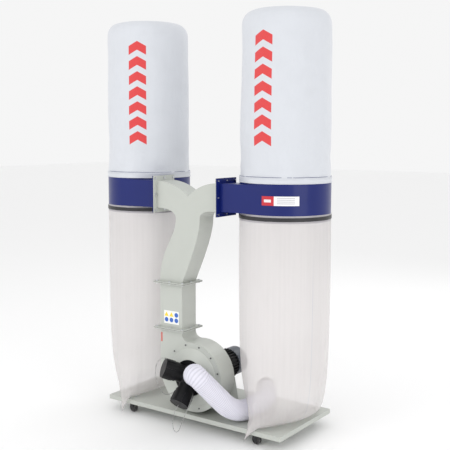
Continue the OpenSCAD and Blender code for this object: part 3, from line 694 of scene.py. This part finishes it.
class OBJECT_OT_collector_finishes(bpy.types.Operator):
    """Gives every hard part of the collector its finish"""

    bl_idname = "object.collector_finishes"
    bl_label = "Finish hard parts"

    def execute(self, context):
        slots = {p["node"]: p["material_slot"] for p in frame["record"]["subparts"]}
        special = {"safety_label": "safety_sticker"}
        soft = ("film", "felt")
        for name, node in frame["nodes"].items():
            slot = slots[name]
            if slot in soft:
                continue
            for holder in node.material_slots:
                holder.material = finish(special.get(name, slot))
        return {"FINISHED"}


class OBJECT_OT_filter_bags(bpy.types.Operator):
    """Makes the two felt filter bags with their hems and stitches"""

    bl_idname = "object.collector_filter_bags"
    bl_label = "Filter bags"

    def execute(self, context):
        sizes = context.scene.collector_sizes
        low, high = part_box("filter_bag_left")
        centre = drum_centre("left")
        first = self.shell(sizes, low, high, centre)
        held = first.vertex_groups.new(name="hem")
        held.add([v.index for v in first.data.vertices if v.co.z < low.z + 0.042], 1, "REPLACE")
        drape(first, "hem", sizes.settle_frames, 1.2, 0.35, 18, lambda p: 0.014)
        soften(first, 2)
        bags = {"left": first, "right": self.copied(first, centre, drum_centre("right"))}
        for side, bag in bags.items():
            bag.name = bag.data.name = "filter_bag_cloth_" + side
            self.finish_bag(side, bag, low, high, sizes)
        return {"FINISHED"}

    def shell(self, sizes, low, high, centre):
        """Rings from the hem up over the soft shoulder to the middle of the crown."""
        around, rows = 144, []
        hem = (high.x - low.x) / 2
        top, shoulder = high.z - sizes.crown, SHOULDER_RADIUS
        narrow = hem - FILTER_TAPER
        side_top = top - shoulder
        steps = 74
        for i in range(steps + 1):
            z = low.z + (side_top - low.z) * i / steps
            t = max(0, (z - low.z - HEM_HEIGHT) / (side_top - low.z - HEM_HEIGHT))
            rows.append((hem + (narrow - hem) * t, z))
        for i in range(1, 8):
            a = math.radians(90 * i / 7)
            rows.append(
                (narrow - shoulder * (1 - math.cos(a)), side_top + shoulder * math.sin(a))
            )
        flat = narrow - shoulder
        for i in range(1, 16):
            r = flat * (1 - i / 16)
            rows.append((r, top + sizes.crown * 0.8 * (1 - (r / flat) ** 2)))
        points, faces = [], []
        for j, (r, z) in enumerate(rows):
            for k in range(around):
                w = 2 * math.pi * k / around
                at = Vector((math.cos(w), math.sin(w), z * 1.6)) * 2.4
                free = min(1, max(0, (z - low.z - 0.04) / 0.12)) * min(1, r / 0.15)
                r2 = r + free * (noise.noise(at) * 0.0055 + noise.noise(at * 3.1) * 0.0018)
                r2 -= 0.0035 * free
                points.append((centre.x + r2 * math.cos(w), centre.y + r2 * math.sin(w), z))
        for j in range(len(rows) - 1):
            for k in range(around):
                a, b = j * around + k, j * around + (k + 1) % around
                faces.append((a, b, b + around, a + around))
        last = (len(rows) - 1) * around
        points.append((centre.x, centre.y, rows[-1][1] + 0.0003))
        faces += [(last + k, last + (k + 1) % around, len(points) - 1) for k in range(around)]
        return mesh_piece("filter_bag_cloth", points, faces)

    def copied(self, piece, here, there):
        """A copy with its own mesh, turned about the bag's axis so the creases differ."""
        twin = bpy.data.objects.new("filter_bag_cloth_right", piece.data.copy())
        bpy.context.scene.collection.objects.link(twin)
        turn = Matrix.Rotation(math.radians(137), 4, "Z")
        twin.data.transform(
            Matrix.Translation(there) @ turn @ Matrix.Translation(-here)
        )
        return twin

    def finish_bag(self, side, bag, low, high, sizes):
        centre = drum_centre(side)
        dress(bag, "felt_" + side, "machine", "felt", "filter_bag_" + side)
        hem = (high.x - low.x) / 2
        stitches = self.stitches(side, centre, hem, low.z + 0.029, sizes.stitch)
        cord = self.band(side, centre, hem, low.z)

    def band(self, side, centre, hem, z):
        """The rolled lower edge of the hem, with its drawstring inside."""
        start_clean()
        bpy.ops.mesh.primitive_torus_add(
            major_segments=144, minor_segments=10, major_radius=hem + 0.0004,
            minor_radius=0.0022, location=(centre.x, centre.y, z + 0.0026),
        )
        roll = context_piece("filter_hem_roll_" + side)
        for v in roll.data.vertices:
            w = math.atan2(v.co.y, v.co.x)
            v.co.z += 0.0004 * noise.noise(Vector((math.cos(w) * 9, math.sin(w) * 9, 1.7)))
        settle_place(roll)
        roll.data.shade_smooth()
        return dress(roll, "felt_" + side, "machine", "felt")

    def stitches(self, side, centre, hem, z, length):
        """One thread stitch, copied round the hem in two rows."""
        count = int(2 * math.pi * hem / (length * 1.35))
        points, faces = [], []
        profile = [(-0.5, 0.35), (-0.3, 1), (0.3, 1), (0.5, 0.35)]
        for row in (0, 1):
            for i in range(count):
                w = 2 * math.pi * (i + 0.5 * row) / count
                out = Vector((math.cos(w), math.sin(w), 0))
                along = Vector((-out.y, out.x, 0))
                at = Vector((centre.x, centre.y, z - 0.006 * row)) + out * (hem + 0.0004)
                base = len(points)
                for t, fat in profile:
                    for k in range(5):
                        a = 2 * math.pi * k / 5
                        lift = out * math.cos(a) + Vector((0, 0, 1)) * math.sin(a)
                        points.append(
                            at + along * (t * length) + out * (fat - 1) * 0.0006
                            + lift * (0.0007 * fat)
                        )
                for r in range(3):
                    for k in range(5):
                        a, b = base + r * 5 + k, base + r * 5 + (k + 1) % 5
                        faces.append((a, b, b + 5, a + 5))
                faces.append(tuple(base + k for k in range(4, -1, -1)))
                faces.append(tuple(base + 15 + k for k in range(5)))
        piece = mesh_piece("filter_stitches_" + side, points, faces)
        outward(piece)
        return dress(piece, "thread", "machine", "felt")


def context_piece(name):
    """Names the piece that the last tool added."""
    piece = bpy.context.object
    piece.name = piece.data.name = name
    return piece


class OBJECT_OT_collection_bags(bpy.types.Operator):
    """Makes the two film collection bags and lets them settle on the tray"""

    bl_idname = "object.collector_collection_bags"
    bl_label = "Collection bags"

    def execute(self, context):
        sizes = context.scene.collector_sizes
        obstacles = self.obstacles()
        for side in SIDES:
            bag = self.tube(side)
            self.settle(bag, side, sizes.settle_frames, obstacles)
            self.finish_bag(bag, side)
        for o in obstacles:
            bpy.data.objects.remove(o)
        return {"FINISHED"}

    def obstacles(self):
        """The tray and the floor as solid bodies for the film to rest on."""
        low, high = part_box("base_tray")
        made = []
        for name, at, size in (
            ("tray_rest", (low + high) / 2, high - low),
            ("floor_rest", Vector((0, 0, -0.02)), Vector((4, 4, 0.04))),
        ):
            start_clean()
            bpy.ops.mesh.primitive_cube_add(size=1, location=at)
            rest = context_piece(name)
            rest.scale = size
            rest.modifiers.new("Rest", "COLLISION")
            rest.collision.thickness_outer = 0.002
            rest.collision.cloth_friction = 30
            made.append(rest)
        return made

    def tube(self, side):
        """Film tube: round in its belt, flattened along the welded bottom seam."""
        around, rows = 128, 92
        low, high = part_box("collection_bag_" + side)
        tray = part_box("base_tray")
        drum = drum_centre(side)
        belt, seam_z = FILM_RADIUS, tray[1].z + SEAM_RISE
        edge = drum.y - tray[0].y + 0.004
        lean, slant, bow = SEAM_LINE[side]
        points, faces = [], []
        tall = high.z - seam_z
        for i in range(rows + 1):
            z = high.z - tall * i / rows
            t = max(0, 1 - (z - seam_z) / FLATTEN_HEIGHT)
            flat = t**3.2
            half = belt * math.sqrt(1 - flat) + 0.0035 * math.sin(math.pi * i / rows)
            depth = math.sqrt(2 * belt**2 - min(half, belt) ** 2)
            depth *= 1 + 0.11 * (1 - min(1, half / belt)) ** 2
            free = min(1, max(0, (high.z - 0.05 - z) / 0.25)) * (1 - flat)
            hang = max(0, 1 - (z - seam_z) / HANG_HEIGHT)
            for k in range(around):
                w = 2 * math.pi * (k + 0.5) / around
                u, v = math.cos(w), math.sin(w)
                flute = free * (
                    0.004 * noise.noise(Vector((u * 3, v * 3, z * 0.8 + drum.x * 9)))
                    + 0.0016 * noise.noise(Vector((u * 11, v * 11, z * 0.5)))
                )
                # Points spread evenly round the flattened ring
                v += (math.asin(v) / (math.pi / 2) - v) * flat
                y = (depth + flute) * v
                x = (half + flute) * u + (lean + slant * y + bow * y * y) * t**4
                # The corners that reach past the tray fold down over its edges
                behind = y > 0
                past = max(0, abs(y) - edge - 0.03 * behind) * hang
                y -= math.copysign((REAR_PULL if behind else TAIL_PULL[side]) * past, y)
                points.append(Vector((drum.x + x, drum.y + y, z - TAIL_DROP * past)))
        for i in range(rows):
            for k in range(around):
                a, b = i * around + k, i * around + (k + 1) % around
                faces.append((a, a + around, b + around, b))
        piece = mesh_piece("collection_bag_film_" + side, points, faces)
        # The last ring's two layers meet in the weld
        bm = bmesh.new()
        bm.from_mesh(piece.data)
        bm.verts.ensure_lookup_table()
        bmesh.ops.remove_doubles(bm, verts=bm.verts[rows * around :], dist=0.0004)
        bm.to_mesh(piece.data)
        bm.free()
        return piece

    def settle(self, bag, side, frames, obstacles):
        """Holds the bag at its belt and its weld, and lets the rest settle."""
        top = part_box("collection_bag_" + side)[1].z
        seam_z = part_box("base_tray")[1].z + SEAM_RISE
        drum = drum_centre(side)
        belt_low, weld_high, tail_length = top - 0.045, seam_z + 0.004, 0.2
        held = bag.vertex_groups.new(name="belt")
        for v in bag.data.vertices:
            in_tail = abs(v.co.y - drum.y) > 0.3
            weld_low = seam_z - tail_length * in_tail
            if v.co.z > belt_low or weld_low < v.co.z < weld_high:
                held.add([v.index], 1, "REPLACE")
        near_corner = lambda p: p.z < 0.35 and abs(p.y - drum.y) > 0.2
        reach = lambda p: 0.045 if near_corner(p) else 0.02
        drape(bag, "belt", frames, 0.35, 1.0, 30, reach, obstacles)
        soften(bag, 2, 0.4)

    def finish_bag(self, bag, side):
        """Gives the bag its film finish and hides the CAD bag; the bag hangs from its belt and
        lies on the tray, and laid flat it is a plain tube.
        """
        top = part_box("collection_bag_" + side)[1].z
        dress(bag, "film", "machine", "film", "collection_bag_" + side)


class OBJECT_OT_hose(bpy.types.Operator):
    """Makes the ribbed hose and the cuff on its free end"""

    bl_idname = "object.collector_hose"
    bl_label = "Flexible hose"

    def execute(self, context):
        sizes = context.scene.collector_sizes
        steps_per_rib = 8
        path, length = smooth_route(metres(HOSE_ROUTE), sizes.rib_pitch / steps_per_rib)
        crest, around = HOSE_CREST, 72
        depth = sizes.rib_depth

        def rib(i, k):
            # A helical rib: round crest and a narrower groove
            phase = i / steps_per_rib - k / around
            return abs(math.sin(math.pi * phase)) ** 0.7

        wall = 0.0011
        outer, faces = sleeve(path, around, lambda i, k: crest - depth * (1 - rib(i, k)))
        inner, inner_faces = sleeve(path, around, lambda i, k: crest - depth - wall)
        count = len(outer)
        faces = list(faces) + [tuple(count + v for v in reversed(f)) for f in inner_faces]
        last = count - around
        for k in range(around):
            m = (k + 1) % around
            faces.append((m, k, count + k, count + m))
            faces.append((last + k, last + m, count + last + m, count + last + k))
        hose = mesh_piece("hose_ribbed", outer + inner, faces)
        # The rib value sets the painted groove shade: full in the grooves, none on the crests,
        # and part of it on the inner wall.
        attribute = hose.data.attributes.new("rib", "FLOAT", "POINT")
        shade = [rib(i, k) for i in range(len(path)) for k in range(around)]
        attribute.data.foreach_set("value", shade + [0.4] * count)
        outward(hose)
        dress(hose, "hose_plastic", "machine", "hose_plastic", "hose")
        cuff = self.cuff()
        # It leaves the object over the port's rim, half a bore below the mouth's middle
        rim = path[0] - Vector((0, 0, 0.026))
        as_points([tuple(p) for p in path[::8]] + [tuple(path[-1])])
        return {"FINISHED"}

    def cuff(self):
        """A spun cuff with a lip, grip rings and a rolled mouth."""
        low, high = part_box("hose_cuff")
        outer, bore, length = (high.z - low.z) / 2, CUFF_BORE, CUFF_LENGTH
        before, end = metres(HOSE_ROUTE[-2:])
        profile = [(0, bore), (0, outer)]
        for i in range(5):
            x = 0.009 + i * 0.006
            profile += [(x, outer), (x + 0.001, outer - 0.0013), (x + 0.003, outer - 0.0013),
                        (x + 0.004, outer)]
        profile += [(length - 0.010, outer), (length - 0.009, outer - 0.0016),
                    (length - 0.003, outer - 0.0016), (length - 0.001, outer - 0.0026),
                    (length, outer - 0.0045), (length, bore + 0.001), (length - 0.001, bore)]
        piece = lathe("hose_cuff_moulded", profile, 96)
        piece.location = end
        piece.rotation_euler.z = math.atan2(end.y - before.y, end.x - before.x)
        settle_place(piece)
        return dress(piece, "black_plastic", "machine", "black_plastic", "hose_cuff")


def lathe(name, profile, around):
    """Spins a closed outline of (place along X, radius) about the X axis."""
    points = [(x, r, 0) for x, r in profile]
    mesh = bpy.data.meshes.new(name)
    count = len(points)
    mesh.from_pydata(points, [(i, (i + 1) % count) for i in range(count)], [])
    piece = bpy.data.objects.new(name, mesh)
    bpy.context.scene.collection.objects.link(piece)
    pick(piece)
    bpy.ops.object.mode_set(mode="EDIT")
    bpy.ops.mesh.select_all(action="SELECT")
    bpy.ops.mesh.spin(
        steps=around, angle=2 * math.pi, use_auto_merge=True, center=(0, 0, 0), axis=(1, 0, 0)
    )
    bpy.ops.object.mode_set(mode="OBJECT")
    outward(piece)
    pick(piece)
    bpy.ops.object.shade_smooth_by_angle(angle=math.radians(35))
    return piece


class OBJECT_OT_cap_tethers(bpy.types.Operator):
    """Makes the two twisted wire tethers that keep the port caps"""

    bl_idname = "object.collector_tethers"
    bl_label = "Cap tethers"

    def execute(self, context):
        strand_r, apart, turn = 0.00105, 0.0009, 0.62
        for side, route in TETHER_ROUTES.items():
            path, length = smooth_route(metres(route), 0.003)
            points, faces = [], []
            for strand in (0, 1):
                twist = lambda i, side_way, up: (
                    side_way * math.cos(i * turn + math.pi * strand)
                    + up * math.sin(i * turn + math.pi * strand)
                ) * apart
                ring, quads = sleeve(path, 8, lambda i, k: strand_r, twist)
                base, last = len(points), len(ring) - 8
                points += ring
                faces += [tuple(base + v for v in q) for q in quads]
                faces.append(tuple(base + k for k in range(7, -1, -1)))
                faces.append(tuple(base + last + k for k in range(8)))
            piece = mesh_piece("tether_wire_" + side, points, faces)
            piece.data.materials.append(finish("wire"))
            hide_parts("cap_tether_" + side)
            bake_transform(piece)
            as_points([tuple(p) for p in path[::-4]] + [tuple(path[0])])
        return {"FINISHED"}


class OBJECT_OT_stage(bpy.types.Operator):
    """Sets the pale floor, the studio lights and the camera"""

    bl_idname = "object.collector_stage"
    bl_label = "Stage"

    def execute(self, context):
        self.floor()
        self.lights()
        self.camera(context.scene)
        return {"FINISHED"}

    def floor(self):
        start_clean()
        bpy.ops.mesh.primitive_plane_add(size=60, location=(0, 0, -0.0005))
        floor = context_piece("floor")
        settle_place(floor)
        f = Finish("studio_floor", (0.96, 0.96, 0.96), 0.85)
        f.set("Roughness", f.speckle(2, 3) * 0.1 + 0.8)
        floor.data.materials.append(f.material)

    def lights(self):
        world = bpy.data.worlds.new("studio")
        world.use_nodes = True
        world.node_tree.nodes["Background"].inputs[0].default_value = (1, 1, 1, 1)
        world.node_tree.nodes["Background"].inputs[1].default_value = 0.92
        bpy.context.scene.world = world
        for name, at, size, power in (
            ("key", (-1.4, -5.0, 3.4), 3.2, 66),
            ("fill", (4.6, -1.6, 2.2), 3.0, 38),
            ("back", (0.5, 4.2, 3.6), 2.6, 30),
        ):
            light = bpy.data.lights.new(name, "AREA")
            light.size, light.energy = size, power
            lamp = bpy.data.objects.new(name, light)
            lamp.location = at
            aim = Vector((0, 0, 1.1)) - Vector(at)
            lamp.rotation_euler = aim.to_track_quat("-Z", "Y").to_euler()
            bpy.context.scene.collection.objects.link(lamp)

    def camera(self, scene):
        camera = bpy.data.cameras.new("camera")
        camera.lens, camera.sensor_width = 64.41, 36
        camera.clip_end = 100
        eye = bpy.data.objects.new("camera", camera)
        eye.location = (2.7637, -3.7203, 1.6785)
        eye.rotation_euler = Euler(
            (math.radians(83.5), math.radians(-0.1), math.radians(35.4)), "XYZ"
        )
        scene.collection.objects.link(eye)
        scene.camera = eye
        scene.view_settings.view_transform = "Standard"


class VIEW3D_PT_collector(bpy.types.Panel):
    """Lists the collector's colours, sizes and building steps"""

    bl_label = "Collector"
    bl_space_type = "VIEW_3D"
    bl_region_type = "UI"
    bl_category = "Collector"

    def draw(self, context):
        layout = self.layout
        for group in (context.scene.collector_colours, context.scene.collector_sizes):
            for key in group.__annotations__:
                layout.prop(group, key)
        for operator in OPERATORS:
            layout.operator(operator.bl_idname)


OPERATORS = (
    OBJECT_OT_collector_finishes,
    OBJECT_OT_filter_bags,
    OBJECT_OT_collection_bags,
    OBJECT_OT_hose,
    OBJECT_OT_cap_tethers,
    OBJECT_OT_stage,
)
CLASSES = (CollectorColours, CollectorSizes, *OPERATORS, VIEW3D_PT_collector)


def register():
    for c in CLASSES:
        bpy.utils.register_class(c)
    bpy.types.Scene.collector_colours = bpy.props.PointerProperty(type=CollectorColours)
    bpy.types.Scene.collector_sizes = bpy.props.PointerProperty(type=CollectorSizes)


def unregister():
    del bpy.types.Scene.collector_sizes
    del bpy.types.Scene.collector_colours
    for c in reversed(CLASSES):
        bpy.utils.unregister_class(c)


def main():
    register()
    bpy.ops.object.collector_finishes()
    bpy.ops.object.collector_filter_bags()
    bpy.ops.object.collector_collection_bags()
    bpy.ops.object.collector_hose()
    bpy.ops.object.collector_tethers()
    bpy.ops.object.collector_stage()


if __name__ == "__main__":
    main()
